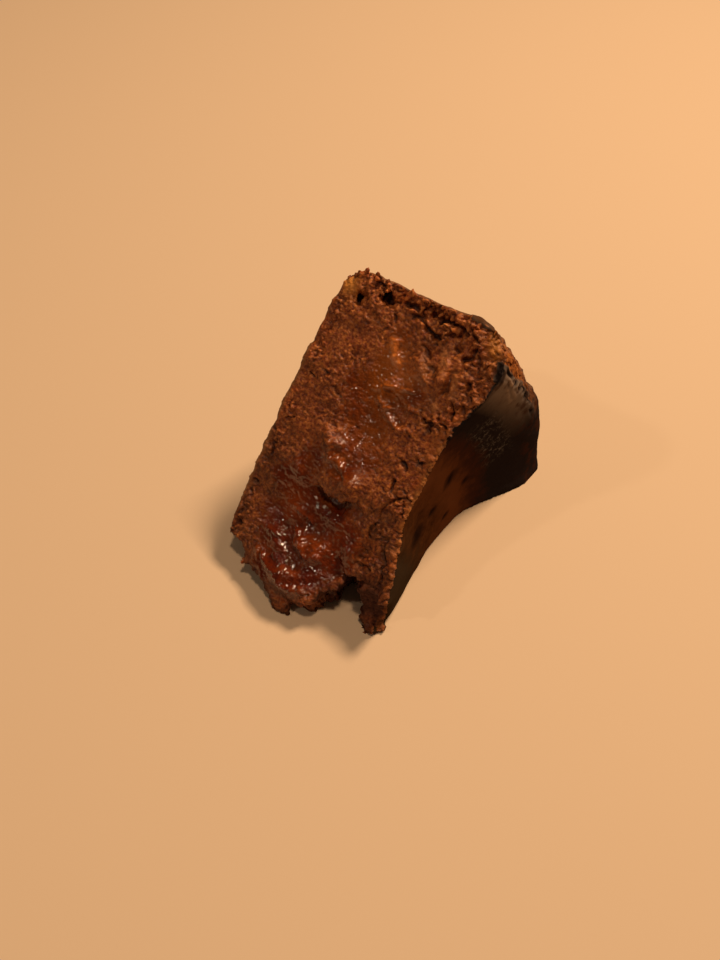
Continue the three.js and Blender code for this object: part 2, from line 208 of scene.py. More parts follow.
# Crumbs that stand on the edges of the cut, each on the nearest point of it: h, r and half size.
EDGE_CRUMBS = (
    (1.6, 99.4, 0.8), (0.6, 97.2, 0.7), (5.6, 101.6, 0.9), (4.8, 101, 1.1), (8.4, 101, 0.8),
    (-0.6, 95.4, 0.7), (12.6, 101.2, 0.7), (15.4, 101.4, 0.6), (27, 101.4, 0.6), (2.4, 98, 1),
    (6.6, 6.6, 0.8), (8, 8.4, 0.6), (50.6, 26, 0.8), (52, 24, 0.7),
)
STREWN_CRUMBS = 60
CRUMB_SEED = 11
BIG_CRUMB = 3.8
SMALL_CRUMB = 1.5


def smoothstep(x, low, high):
    t = np.clip((x - low) / (high - low), 0.0, 1.0)
    return t * t * (3.0 - 2.0 * t)


def fade(x, low, high):
    """1 up to low, 0 from high on, and smooth between them."""
    return 1.0 - smoothstep(x, low, high)


def bell(distance):
    return np.exp(-distance * distance)


def mix(a, b, t):
    return a + (b - a) * t


# ---- Noise over arrays of points ----

def perlin(points, size, shift=0.0):
    """Smooth noise from about -1 to 1. size is one length, or one for each axis."""
    scaled = points / np.asarray(size, float) + shift
    return np.array([noise.noise(p) for p in scaled.tolist()])


def clumps(points, size, shift=0.0):
    """Round lumps parted by creases: their height, 0 to 1, and a number of each lump's own, 0 to 1."""
    found = [noise.voronoi(p) for p in (points / size + shift).tolist()]
    near = np.array([distances[0] for distances, _ in found])
    far = np.array([distances[1] for distances, _ in found])
    centres = np.array([tuple(places[0]) for _, places in found])
    own = np.abs(np.sin(centres @ np.array([12.99, 78.23, 37.72])) * 4375.85) % 1.0
    height = smoothstep(far - near, 0.0, 0.34) * (1.0 - 0.5 * near * near)
    return height, own


def shaken(points, size, amount, shift=0.0):
    """The points moved about by smooth noise, so that forms drawn with them are ragged."""
    push = [perlin(points, size, shift + 31.7 * axis) for axis in range(3)]
    return points + amount * np.stack(push, axis=1)


# ---- The cake's shape ----

def skin_height(r, level):
    """The height of the skin above the cake's base."""
    towards_cut = np.sqrt(np.clip(level, 0.0, 1.0))
    values = [mix(lower, upper, towards_cut) for lower, upper in zip(LOWER_SKIN, UPPER_SKIN)]
    rim_rise, rim_start, tip_rise = values
    rim = rim_rise * smoothstep(r, rim_start, RIM_TOP)
    tip = tip_rise * fade(r, TIP_START, TIP_END)
    return SUNK_HEIGHT + rim + tip


class Cake:
    """The cake coordinates of a set of points, in millimetres."""

    def __init__(self, points, origin):
        local = points - origin
        self.h = local[:, 0]
        self.y = local[:, 1]
        self.z = local[:, 2]
        self.r = np.hypot(self.y, self.z)
        self.level = np.arctan2(self.z, self.y) / SLICE_ANGLE
        cos, sin = math.cos(SLICE_ANGLE), math.sin(SLICE_ANGLE)
        self.cut_r = self.y * cos + self.z * sin
        self.cut_depth = self.y * sin - self.z * cos
        self.skin_depth = skin_height(self.r, self.level) - self.h
        flare = RIM_FLARE * smoothstep(self.level, 0.75, 1.0)
        self.wall_depth = CAKE_RADIUS + flare - self.r


# ---- Mesh work ----

def edge_average(values, edges, count):
    """The mean of each vertex's neighbours."""
    total = np.zeros_like(values)
    a, b = edges[:, 0], edges[:, 1]
    for axis in range(values.shape[1]):
        total[:, axis] = np.bincount(a, values[b, axis], count) + np.bincount(b, values[a, axis], count)
    neighbours = np.bincount(a, minlength=count) + np.bincount(b, minlength=count)
    return total / neighbours[:, None]


def relax(values, edges, strength, rounds, spring=-0.52):
    """Smooths, nearly without shrinking. strength is one number, or one for each vertex."""
    strength = np.broadcast_to(np.asarray(strength, float), (len(values),))[:, None]
    for _ in range(rounds):
        for step in (0.5, spring):
            average = edge_average(values, edges, len(values))
            values = values + step * strength * (average - values)
    return values


def read(items, field, width, kind):
    """A field of a mesh's vertices or edges, a row for each."""
    flat = np.empty(len(items) * width, kind)
    items.foreach_get(field, flat)
    return flat.reshape(-1, width)


def read_points(mesh):
    return read(mesh.vertices, "co", 3, np.float32).astype(float) / MM


def write_points(mesh, points):
    mesh.vertices.foreach_set("co", (points * MM).astype(np.float32).ravel())
    mesh.update()


def read_edges(mesh):
    return read(mesh.edges, "vertices", 2, np.int32)


def read_normals(mesh):
    return read(mesh.vertices, "normal", 3, np.float32).astype(float)


def add_lump(work, centre, half_sizes, seed, fineness):
    """Adds one closed, uneven lump, flat where it meets the floor. Lengths in millimetres."""
    made = bmesh.ops.create_icosphere(work, subdivisions=fineness, radius=1.0)
    for vertex in made["verts"]:
        bump = 1.0 + 0.55 * noise.noise(vertex.co * 1.5 + Vector((seed, 0.0, 0.0)))
        bump += 0.5 * noise.noise(vertex.co * 3.4 + Vector((0.0, seed, 0.0)))
        place = [c + s * bump * v for c, s, v in zip(centre, half_sizes, vertex.co)]
        place[2] = max(place[2], 0.0)
        vertex.co = Vector(place) * MM
    return made["verts"]


def opened(mesh):
    work = bmesh.new()
    work.from_mesh(mesh)
    return work


def close(work, mesh):
    """Writes the work into the mesh, with triangles in place of faces of five corners or more."""
    bmesh.ops.triangulate(work, faces=[f for f in work.faces if len(f.verts) > 4])
    work.to_mesh(mesh)
    work.free()


def solid_with_feet(source, origin):
    """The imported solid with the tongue's feet, as one object of overlapping closed parts."""
    work = opened(source.data)
    for number, (place, half_sizes) in enumerate(FEET):
        add_lump(work, origin + np.array(place), half_sizes, 5.0 * number, 3)
    mesh = bpy.data.meshes.new("with_feet")
    close(work, mesh)
    return add_object("with_feet", mesh)


def remeshed(piece, voxel):
    """The piece as one even closed mesh of small faces. The piece itself is removed."""
    modifier = piece.modifiers.new("even_faces", "REMESH")
    modifier.mode = "VOXEL"
    modifier.voxel_size = voxel * MM
    evaluated = piece.evaluated_get(bpy.context.evaluated_depsgraph_get())
    mesh = bpy.data.meshes.new_from_object(evaluated)
    bpy.data.objects.remove(piece)
    return mesh


def split_faces(mesh, chosen):
    """Halves the edges between chosen vertices, so that their faces become four each."""
    work = opened(mesh)
    work.verts.ensure_lookup_table()
    edges = [e for e in work.edges if chosen[e.verts[0].index] and chosen[e.verts[1].index]]
    bmesh.ops.subdivide_edges(work, edges=edges, cuts=1, use_grid_fill=True)
    close(work, mesh)


def add_object(name, data):
    piece = bpy.data.objects.new(name, data)
    bpy.context.scene.collection.objects.link(piece)
    return piece


def add_piece(name, mesh):
    """A visible piece, with smooth shading."""
    mesh.shade_smooth()
    return add_object(name, mesh)


def save_attributes(mesh, values):
    for name, numbers in values.items():
        attribute = mesh.attributes.new(name, "FLOAT", "POINT")
        attribute.data.foreach_set("value", numbers.astype(np.float32))


# ---- Where each face and finish is ----

def find_faces(cake, normals):
    """How much each vertex belongs to each face of the slice, from 0 to 1."""
    cos, sin = math.cos(SLICE_ANGLE), math.sin(SLICE_ANGLE)
    towards_cut = normals[:, 2] * cos - normals[:, 1] * sin
    outwards = normals[:, 1] * cake.y / cake.r + normals[:, 2] * cake.z / cake.r
    near_cut = fade(cake.cut_depth, 2.0, 5.0)
    front = fade(cake.r, 26.0, 32.0)
    cut = smoothstep(towards_cut, 0.25, 0.6) * np.maximum(near_cut, front)
    floor = smoothstep(-normals[:, 2], 0.6, 0.9) * fade(cake.z, 0.4, 1.2)
    rest = (1.0 - cut) * (1.0 - floor)
    skin = rest * smoothstep(normals[:, 0], 0.2, 0.6) * fade(cake.skin_depth, 2.0, 5.0)
    base = rest * smoothstep(-normals[:, 0], 0.3, 0.7) * fade(cake.h, 2.5, 7.0)
    others = rest * (1.0 - skin) * (1.0 - base)
    wall = others * smoothstep(outwards, 0.2, 0.6) * smoothstep(cake.r, 80.0, 92.0)
    tear = others * (1.0 - wall) * front
    return {"cut": cut, "floor": floor, "skin": skin, "base": base, "wall": wall, "tear": tear}


def near_torn_end(cut_r):
    return fade(cut_r, 38.0, 54.0)


def find_dryness(cake):
    """Where the cut is dry, and how much big and small crumb it has, each from 0 to 1."""
    wall = fade(cake.wall_depth, 5.5, 11.0)
    base = fade(cake.h, 1.5, 6.0)
    high = smoothstep(cake.cut_r, 58.0, 82.0)
    skin_band = mix(4.5, 12.0, high)
    skin = fade(cake.skin_depth, 0.4 * skin_band, skin_band)
    crust = smoothstep(cake.h, 40.6, 42.0) * fade(cake.cut_r, 46.0, 52.0)
    dry = np.maximum.reduce([wall, 0.8 * base, skin, crust])
    coarse_wall = wall * (1.0 - 0.35 * smoothstep(cake.h, 14.0, 26.0))
    big = np.maximum.reduce([coarse_wall, 0.1 * base, mix(0.05, 0.3, high) * skin])
    small = np.maximum.reduce([0.8 * wall, 0.6 * base, mix(0.22, 0.8, high) * skin, 0.3 * crust])
    return dry, big, small


def inside_discs(cake, discs, wobble):
    """0 at the middle of a chain of discs, 1 at its border."""
    ratios = [np.hypot(cake.h - h, cake.cut_r - r) / radius for h, r, radius in discs]
    return np.minimum.reduce(ratios) + 0.25 * wobble


def find_wetness(cake, wobble):
    """1 in the two glossy pools of the cut, with wide soft borders."""
    upper = inside_discs(cake, UPPER_POOL, wobble)
    lower = inside_discs(cake, LOWER_POOL, wobble)
    return fade(np.minimum(upper, lower), 0.45, 1.3)


def patches(cake, spots):
    """How much each vertex is in one of the leaning patches."""
    cos, sin = math.cos(PATCH_TILT), math.sin(PATCH_TILT)
    total = np.zeros(len(cake.h))
    for h, r, half_length, half_width, strength in spots:
        dh, dr = cake.h - h, cake.cut_r - r
        along = (dr * cos - dh * sin) / half_length
        across = (dh * cos + dr * sin) / half_width
        total = np.maximum(total, strength * bell(np.hypot(along, across)))
    return total


def skin_spots(cake, wobble):
    """How much each vertex is in one of the dark spots of the skin."""
    total = np.zeros(len(cake.h))
    for r, level, half_length, half_width in SKIN_SPOTS:
        across = (cake.level - level) * SLICE_ANGLE * r / half_width
        distance = np.hypot((cake.r - r) / half_length, across) + 0.3 * wobble
        total = np.maximum(total, fade(distance, 0.1, 1.45))
    return total


def find_borders(cake, jitter):
    """The thin layers that show where the outer faces meet the cut."""
    skin_depth = cake.skin_depth + 0.9 * jitter
    rind = mix(0.2, 1.0, smoothstep(cake.cut_r, 34.0, 48.0))
    rind = rind * (1.0 - 0.9 * smoothstep(cake.cut_r, 66.0, 78.0))
    baked_width = mix(1.0, 4.6, smoothstep(cake.cut_r, 50.0, 78.0))
    hump = bell(line_distance(cake.h, cake.cut_r, DARK_HUMP) / 1.9)
    hump = hump * fade(cake.cut_depth, 3.0, 8.0)
    burnt = bell(line_distance(cake.h, cake.cut_r, BURNT_EDGE) / 1.25)
    burnt = burnt * fade(cake.cut_depth, 2.0, 4.0)
    charred = 0.9 * fade(skin_depth, 0.2, 1.1) * smoothstep(cake.cut_r, 64.0, 74.0)
    charred = charred * fade(cake.cut_depth, 0.3, 1.5)
    return {
        "crust": rind * fade(skin_depth, 0.7, 1.5),
        "baked": fade(skin_depth, baked_width, baked_width + 1.2),
        "side": fade(np.minimum(cake.wall_depth, cake.h + 0.4) + 0.5 * jitter, 0.4, 1.3),
        "burnt": np.clip(np.maximum(1.3 * burnt, charred), 0.0, 1.0),
        "hump": np.clip(1.3 * hump, 0.0, 1.0),
    }


# ---- Relief ----

def line_distance(h, r, points):
    """The distance of each (h, r) from a line of straight pieces."""
    nearest = np.full(len(h), np.inf)
    for (h0, r0), (h1, r1) in zip(points[:-1], points[1:]):
        dh, dr = h1 - h0, r1 - r0
        t = np.clip(((h - h0) * dh + (r - r0) * dr) / (dh * dh + dr * dr), 0.0, 1.0)
        nearest = np.minimum(nearest, np.hypot(h - h0 - t * dh, r - r0 - t * dr))
    return nearest


def named_forms(h, r, widening):
    """The forms of the cut: their height, and how deep in a pit each point is."""
    height = np.zeros(len(h))
    pit = np.zeros(len(h))
    for points, half_width, rise in RIDGES:
        height += rise * bell(line_distance(h, r, points) / half_width)
    for points, half_width, depth in DIPS:
        height -= depth * bell(line_distance(h, r, points) / half_width)
    for points, half_width, depth in PITS:
        distance = line_distance(h, r, points) / (half_width * widening)
        inside = fade(distance, 0.1, 1.6)
        height -= depth * inside
        pit = np.maximum(pit, inside * min(1.0, depth / 1.3))
    return height, pit


def ledge(h, r):
    """The torn flap and the hollow under it, and how near each point is to the flap's edge."""
    above = r - np.interp(h, LEDGE_H, LEDGE_R)
    along = smoothstep(h, 18.0, 23.0) * fade(h, 28.0, 36.0)
    step = smoothstep(above, -0.3, 0.3)
    flap = LEDGE_RISE * bell(above / 6.0) * step
    under = LEDGE_DROP * bell(above / 3.6) * (1.0 - step)
    return (flap - under) * along, step * bell(above / 1.4) * along


def wet_relief(points):
    """Slow waves with small ripples and beads."""
    waves = perlin(points, (7.0, 4.6, 4.6), 5.0)
    ripples = perlin(points, (2.6, 1.8, 1.8), 15.0)
    beads = perlin(points, 0.95, 25.0)
    return 0.34 * waves + 0.3 * ripples + 0.2 * beads


def cut_relief(points, origin, big_share, small_share, wet):
    """The relief of the cut, its pits, the flap's edge and the tint of each crumb."""
    rough = shaken(shaken(points, 3.2, 1.2, 100.0), 1.2, 0.5, 200.0)
    place = Cake(rough, origin)
    widening = np.clip(1.0 + 0.9 * perlin(points, 1.5, 140.0), 0.4, 1.8)
    forms, pit = named_forms(place.h, place.cut_r, widening)
    flap, lip = ledge(place.h, place.cut_r)
    big, big_own = clumps(rough, BIG_CRUMB)
    small, small_own = clumps(rough, SMALL_CRUMB, 7.0)
    lumps = perlin(points, 4.2, 13.0)
    grains = perlin(rough, 1.2, 23.0)
    fine = perlin(rough, 0.6, 33.0)
    big_crumb = 1.1 * (big - 0.7) + 0.8 * (big_own - 0.5)
    small_crumb = 0.36 * (small - 0.65) + 0.4 * (small_own - 0.5) + 0.6 * grains + 0.36 * fine
    grain = 0.16 * (small - 0.65) + 0.14 * (small_own - 0.5) + 0.4 * lumps + 0.4 * grains + 0.24 * fine
    sparkle = patches(Cake(points, origin), SPARKLE_PATCHES)
    uneven = np.clip(0.9 + 1.1 * perlin(points, 7.0, 43.0), 0.4, 1.5)
    grain = grain * uneven
    small_crumb = small_crumb * mix(1.0, uneven, 0.7)
    smoothed = mix(0.6, 0.85, near_torn_end(place.cut_r)) * wet
    relief = mix(grain, wet_relief(points), smoothed) + big_share * big_crumb + small_share * small_crumb
    relief = relief + sparkle * (0.5 + 0.45 * perlin(points, 1.05, 27.0) + 0.25 * fine)
    return relief + forms + flap, pit, lip, mix(small_own, big_own, 0.35)


def skin_relief(points, cake, spots, folds):
    """Slow dents, small wrinkles, sunk spots and folds, and crackle where the skin is burnt."""
    burnt = smoothstep(cake.r, 66.0, 78.0)
    dents = 0.3 * perlin(points, 9.0, 60.0)
    wrinkles = (0.04 + 0.05 * burnt) * perlin(points, 1.7, 50.0)
    crackle = burnt * fade(cake.r, 81.0, 86.0) * perlin(points, 1.6, 55.0)
    return dents + wrinkles + 0.24 * crackle + 0.6 * folds - 0.3 * spots


def skin_folds(points, cake):
    """How high each point is on the small folds of the skin at the rim, near the cut."""
    across = cake.r - 20.5 * cake.level - 73.2
    patch = bell(across / 2.3) * smoothstep(cake.level, 0.7, 0.84)
    broken = 0.6 + 0.8 * perlin(points, 2.6, 59.0)
    waves = 0.5 + 0.5 * np.cos(2.9 * across + 2.6 * perlin(points, 3.4, 58.0))
    return patch * np.clip(broken, 0.0, 1.0) * waves


def rim_chips(points, cake):
    """Where the skin has chipped off the rim near the cut, and the burnt notches along the border."""
    wobble = perlin(points, 2.6, 85.0)
    near_cut = smoothstep(cake.level + 0.08 * wobble, 0.38, 0.56)
    near_cut = near_cut * smoothstep(cake.h + 2.0 * wobble, 43.5, 47.0)
    border = cake.r + 0.9 * wobble - 14.0 * np.clip(cake.level - 0.82, 0.0, 0.3)
    notches = np.minimum(1.6 * bell((border - 91.9) / 0.85) * near_cut * smoothstep(wobble, -0.1, 0.12), 1.0)
    return smoothstep(border, 92.4, 93.6) * near_cut, notches


def chip_relief(points):
    """The rough crumb where the skin has chipped off."""
    rough = shaken(points, 1.6, 0.6, 300.0)
    return 0.6 * perlin(rough, 2.2, 86.0) + 0.45 * perlin(rough, 1.0, 87.0)


def side_relief(points, cake):
    """The creases that baking paper leaves, upright on the wall, and small dents."""
    around = cake.level * SLICE_ANGLE * CAKE_RADIUS
    flat = np.stack([cake.h * 0.16, around, np.zeros(len(around))], axis=1)
    crease = 1.0 - np.abs(perlin(flat, 6.5, 71.0)) * 3.0
    creases = -0.6 * np.clip(crease, 0.0, 1.0) ** 2 * smoothstep(cake.r, 88.0, 97.0)
    return creases + 0.22 * perlin(points, 1.8, 70.0) + 0.3 * perlin(points, 5.0, 80.0)


def rim_trim(cake):
    """How far the corner of the rim is drawn in beside the upper cut."""
    near = bell(np.hypot(cake.h - 48.6, cake.cut_r - 101.6) / 4.6)
    along = bell(np.hypot(cake.h - 53.5, cake.r - 97.0) / 4.5) * smoothstep(cake.level, 0.35, 0.6)
    return 1.8 * near * fade(cake.cut_depth, 5.0, 14.0) + 0.9 * along


def tucked(points, cake):
    """The torn end drawn in above the floor, between its feet."""
    inside = cake.y - np.interp(cake.h, FOOT_H, FOOT_Y)
    low = fade(cake.z, 0.2, 5.0)
    near = fade(inside, 1.0, 8.0)
    across = smoothstep(cake.h, 5.0, 9.0) * fade(cake.h, 36.0, 38.0)
    feet = np.zeros(len(cake.h))
    for (h, y, _), (half_h, half_y, _) in FEET:
        distance = np.hypot((cake.h - h) / half_h, (cake.y - y) / half_y)
        feet = np.maximum(feet, fade(distance, 1.0, 1.5))
    moved = points.copy()
    moved[:, 1] += TUCK * low * near * across * (1.0 - feet)
    return moved


def refined_mesh(frame, origin):
    """The solid as a fine, smooth mesh, finest at the cut and the torn end."""
    mesh = remeshed(solid_with_feet(frame["nodes"][NODE], origin), VOXEL)
    cake = Cake(read_points(mesh), origin)
    faces = find_faces(cake, read_normals(mesh))
    rim = (cake.r > FINE_RIM["r"]) & (cake.level > FINE_RIM["level"]) & (cake.h > FINE_RIM["h"])
    split_faces(mesh, (faces["cut"] + faces["tear"] > 0.3) | rim)
    edges = read_edges(mesh)
    points = relax(read_points(mesh), edges, 1.0, 8)
    write_points(mesh, points)
    cake = Cake(points, origin)
    faces = find_faces(cake, read_normals(mesh))
    closed = np.clip(faces["skin"] + faces["wall"] + faces["base"], 0.0, 1.0)
    points = relax(points, edges, closed * smoothstep(cake.cut_depth, 0.5, 3.0), 50)
    tongue = fade(cake.cut_r, 14.0, 24.0) * fade(cake.h, 38.0, 41.0)
    points = relax(points, edges, tongue * smoothstep(cake.z, 2.5, 6.0), 60, -0.5)
    points = tucked(points, Cake(points, origin))
    write_points(mesh, points)
    return mesh, points, edges


def assign_materials(mesh, skin, side):
    """Material 0 on the crumb, 1 on the skin and 2 on the wall and the base."""
    for polygon in mesh.polygons:
        corners = list(polygon.vertices)
        if skin[corners].mean() > 0.5:
            polygon.material_index = 1
        elif side[corners].mean() > 0.5:
            polygon.material_index = 2


def merge_floor(mesh):
    """Merges the small flat faces that lie on the floor."""
    work = opened(mesh)
    flat = [f for f in work.faces if all(v.co.z < 0.1 * MM for v in f.verts)]
    edges = list({e for f in flat for e in f.edges})
    verts = list({v for f in flat for v in f.verts})
    bmesh.ops.dissolve_limit(work, angle_limit=math.radians(2.0), verts=verts, edges=edges)
    close(work, mesh)


def find_finishes(points, normals, cake, faces):
    """How the crumb is finished: open to view, dry, coarse or fine, wet, torn or steep with painted shade,
    and in which patches.
    """
    cut, tear = faces["cut"], faces["tear"]
    open_crumb = np.clip(cut + tear, 0.0, 1.0)
    dry, big, small = find_dryness(cake)
    foot = tear * fade(cake.z, 3.0, 5.5)
    tips = patches(cake, CRUMB_TIPS) * open_crumb
    gold = patches(cake, GOLD_PATCHES) * cut
    dry = np.maximum.reduce([dry, foot, tips])
    small = np.maximum.reduce([small, 0.9 * foot, 0.8 * tips])
    tongue = tear * fade(cake.h, 30.0, 35.0) * smoothstep(cake.z, 3.0, 6.0)
    tongue = tongue * smoothstep(normals[:, 2], 0.1, 0.4)
    steep = fade(normals[:, 2], 0.3, 0.6) * fade(cake.cut_r, 22.0, 30.0)
    wet = np.maximum(find_wetness(cake, perlin(points, 6.0, 90.0)), 0.9 * tongue) * open_crumb
    torn_shade = tear * (1.0 - tongue) * (1.0 - 0.8 * tips)
    return {
        "open": open_crumb,
        "dry": dry,
        "big": big * (1.0 - 0.8 * gold),
        "small": small * (1.0 - 0.6 * gold),
        "wet": wet * (1.0 - dry) * (1.0 - 0.9 * steep),
        "torn_shade": np.maximum(torn_shade, 0.8 * steep * open_crumb * (1.0 - tips)),
        "tips": tips,
        "gold": gold,
        "pale": patches(cake, PALE_PATCHES) * cut,
        "deep": near_torn_end(cake.cut_r),
        "tooth": bell(np.hypot(cake.h - TOOTH["h"], cake.cut_r - TOOTH["r"]) / TOOTH["size"]) * open_crumb,
        "wall_band": fade(cake.wall_depth, 5.0, 12.0),
    }


def find_outside(points, cake, faces):
    """The dark spots, the folds, the chips and the notches of the skin and the rim."""
    chips, notches = rim_chips(points, cake)
    return {
        "spots": skin_spots(cake, perlin(points, 2.0, 95.0)) * faces["skin"],
        "folds": skin_folds(points, cake) * faces["skin"],
        "chips": chips,
        "notches": notches,
    }


def slice_relief(points, origin, cake, faces, finish, outside, hump):
    """The relief of the whole slice, the pits, the flap's edge and the tint of each crumb."""
    relief, pit, lip, tint = cut_relief(points, origin, finish["big"], finish["small"], finish["wet"])
    edge_calm = mix(0.25, 1.0, smoothstep(cake.h, 0.0, 3.0))
    relief = finish["open"] * relief * edge_calm * (1.0 - 0.75 * finish["pale"])
    relief += faces["skin"] * skin_relief(points, cake, outside["spots"], outside["folds"])
    chipped_off = outside["chips"] * (chip_relief(points) - CHIP_SUNK)
    relief += (1.0 - finish["open"]) * (chipped_off - NOTCH_DEPTH * outside["notches"])
    relief += (faces["wall"] + faces["base"]) * side_relief(points, cake)
    relief += HUMP_RISE * hump - rim_trim(cake)
    relief *= 1.0 - faces["floor"]
    return relief, pit, lip, tint


def find_shade(cake, finish):
    """How light or dark the crumb's colour is made: darker towards the torn end, lighter along the wall band
    and on the crumb tips, and darker on the tooth, partly as painted shade.
    """
    wall_light = finish["wall_band"] * (1.0 - 0.8 * smoothstep(cake.h, 14.0, 30.0))
    shade = (1.0 - 0.34 * finish["deep"]) * (1.0 + 0.4 * wall_light) * (1.0 + finish["tips"])
    return shade * (1.0 - 0.42 * finish["tooth"])


def make_slice(frame, origin):
    """The slice, and its points, normals, places and crumbliness, by which crumbs are set."""
    mesh, points, edges = refined_mesh(frame, origin)
    normals = read_normals(mesh)
    cake = Cake(points, origin)
    faces = find_faces(cake, normals)
    finish = find_finishes(points, normals, cake, faces)
    outside = find_outside(points, cake, faces)
    borders = find_borders(cake, perlin(points, 1.3, 97.0))
    relief, pit, lip, tint = slice_relief(points, origin, cake, faces, finish, outside, borders["hump"])
    downhill = np.array([0.0, -math.cos(SLICE_ANGLE), -math.sin(SLICE_ANGLE)])
    overhang = LEDGE_OVERHANG * (lip * finish["open"])[:, None] * downhill
    moved = points + normals * relief[:, None] + overhang
    moved[:, 2] = np.maximum(moved[:, 2], 0.0)
    write_points(mesh, moved)
    average = relax(relief[:, None], edges, 1.0, 5, 0.5)[:, 0]
    # Painted shade: how far each point lies below its neighbours, and inside the pits.
    hollow = np.clip((average - relief) * mix(1.5, 1.0, finish["wall_band"]), 0.0, 0.85)
    save_attributes(mesh, {
        **{name: finish[name] for name in ("wet", "torn_shade", "pale", "gold", "deep", "tooth")},
        **outside,
        **borders,
        "dry": finish["dry"] * finish["open"],
        "tint": tint,
        "cavity_shade": np.maximum(hollow, 0.9 * pit * faces["cut"]),
        # Painted light on the crests of the relief.
        "crest_light": np.clip((relief - average) * 1.8, 0.0, 1.0),
        "painted_highlight": patches(cake, HIGHLIGHT_PATCHES) * faces["cut"],
        "warm": patches(cake, WARM_PATCHES) * faces["cut"],
        "chips": outside["chips"] * mix(0.5, 1.0, smoothstep(cake.level, 0.55, 0.8)),
        "shade": find_shade(cake, finish),
        "cake_r": cake.r,
        "cake_h": cake.h,
        "level": cake.level,
    })
    dark_edges = np.maximum(borders["burnt"], borders["hump"])
    ragged = 0.5 * perlin(points, 1.3, 98.0) * fade(cake.cut_depth, 0.6, 2.0)
    assign_materials(mesh, np.maximum(faces["skin"], dark_edges) + ragged, faces["wall"] + faces["base"])
    crumbly = finish["small"] * faces["cut"] * (1.0 - borders["burnt"]) * (1.0 - borders["hump"])
    sites = (moved, read_normals(mesh), Cake(moved, origin), crumbly)
    merge_floor(mesh)
    return add_piece("slice", mesh), sites


def make_crumbs(points, normals, cake, crumbly):
    """Small crumbs: some on named edges, others strewn where the cut is crumbly."""
    picker = np.random.default_rng(CRUMB_SEED)
    lumps = []
    for h, r, size in EDGE_CRUMBS:
        nearest = np.argmin((cake.h - h) ** 2 + (cake.cut_r - r) ** 2 + cake.cut_depth ** 2)
        lumps.append((points[nearest] - 0.45 * size * normals[nearest], 0.85 * size))
    for index in picker.choice(np.flatnonzero(crumbly > 0.6), STREWN_CRUMBS, replace=False):
        size = picker.uniform(0.3, 0.6)
        lumps.append((points[index] - 0.35 * size * normals[index], size))
    work = bmesh.new()
    tints = []
    for number, (place, size) in enumerate(lumps):
        half_sizes = size * picker.uniform(0.5, 1.4, 3)
        vertices = add_lump(work, place, half_sizes, 3.7 * number, 2)
        tints += [picker.uniform()] * len(vertices)
    mesh = bpy.data.meshes.new("crumbs")
    close(work, mesh)
    tints = np.array(tints)
    save_attributes(mesh, {"dry": np.ones(len(tints)), "tint": tints, "shade": np.full(len(tints), 0.75)})
    return add_piece("crumbs", mesh)


# ---- Materials ----

class Nodes:
    """Short calls for building a node tree."""

    def __init__(self, material):
        material.use_nodes = True
        self.tree = material.node_tree
        self.shader = self.tree.nodes["Principled BSDF"]

    def new(self, kind, **settings):
        node = self.tree.nodes.new(kind)
        for key, value in settings.items():
            setattr(node, key, value)
        return node

    def put(self, value, socket):
        """Links or sets a socket. A string stands for the mesh's attribute of that name."""
        if isinstance(value, str):
            value = self.new("ShaderNodeAttribute", attribute_name=value).outputs["Fac"]
        if isinstance(value, bpy.types.NodeSocket):
            self.tree.links.new(value, socket)
        elif isinstance(value, tuple):
            socket.default_value = (*value, 1.0)
        else:
            socket.default_value = value

    def fed(self, kind, inputs, **settings):
        """The outputs of a new node, with its inputs put in by name or by number."""
        node = self.new(kind, **settings)
        for socket, value in inputs.items():
            self.put(value, node.inputs[socket])
        return node.outputs

    def mix_colour(self, factor, a, b, **settings):
        return self.fed("ShaderNodeMix", {0: factor, 6: a, 7: b}, data_type="RGBA", **settings)[2]

    def over(self, colour, where, paint, share):
        """The colour with a share of the paint laid over it where a number says."""
        return self.mix_colour(self.product(where, share), colour, paint)

    def mix_number(self, factor, a, b):
        return self.fed("ShaderNodeMix", {0: factor, 2: a, 3: b})[0]

    def math(self, operation, a, b=0.0):
        return self.fed("ShaderNodeMath", {0: a, 1: b}, operation=operation)[0]

    def product(self, a, b):
        return self.math("MULTIPLY", a, b)

    def set(self, value, name):
        """Sets or links an input of the shader."""
        self.put(value, self.shader.inputs[name])

    def texture(self, kind, size, **inputs):
        """A texture by place, its lumps about size millimetres across."""
        place = self.new("ShaderNodeTexCoord").outputs["Object"]
        return self.fed(kind, {"Vector": place, "Scale": 1.0 / (size * MM), **inputs})

    def noise(self, size, detail=3.0):
        return self.texture("ShaderNodeTexNoise", size, Detail=detail)["Fac"]

    def pores(self, size):
        """1 inside small round pores, about size millimetres apart, and 0 off them."""
        return self.ramp(self.texture("ShaderNodeTexVoronoi", size)["Distance"], 0.24, 0.1)

    def squiggles(self, size):
        """Thin winding lines, about size millimetres apart: 1 on a line, 0 off it."""
        away = self.math("ABSOLUTE", self.math("SUBTRACT", self.noise(size), 0.5))
        return self.ramp(away, 0.045, 0.015)

    def speckle(self, size, low, high):
        """A number from low to high that changes from grain to grain."""
        return self.mix_number(self.ramp(self.noise(size), 0.33, 0.67), low, high)

    def times(self, colour, factor):
        """The colour times a number, or times a colour."""
        return self.mix_colour(1.0, colour, factor, blend_type="MULTIPLY", clamp_result=False)

    def ramp(self, factor, low, high):
        """0 at low, 1 at high, and straight between them."""
        inputs = {"Value": factor, "From Min": low, "From Max": high}
        return self.fed("ShaderNodeMapRange", inputs)["Result"]

    def bump(self, height, strength, depth):
        """Bumps up to depth millimetres high."""
        inputs = {"Height": height, "Strength": strength, "Distance": depth * MM}
        normal = self.fed("ShaderNodeBump", inputs)["Normal"]
        self.set(normal, "Normal")
        self.set(normal, "Coat Normal")


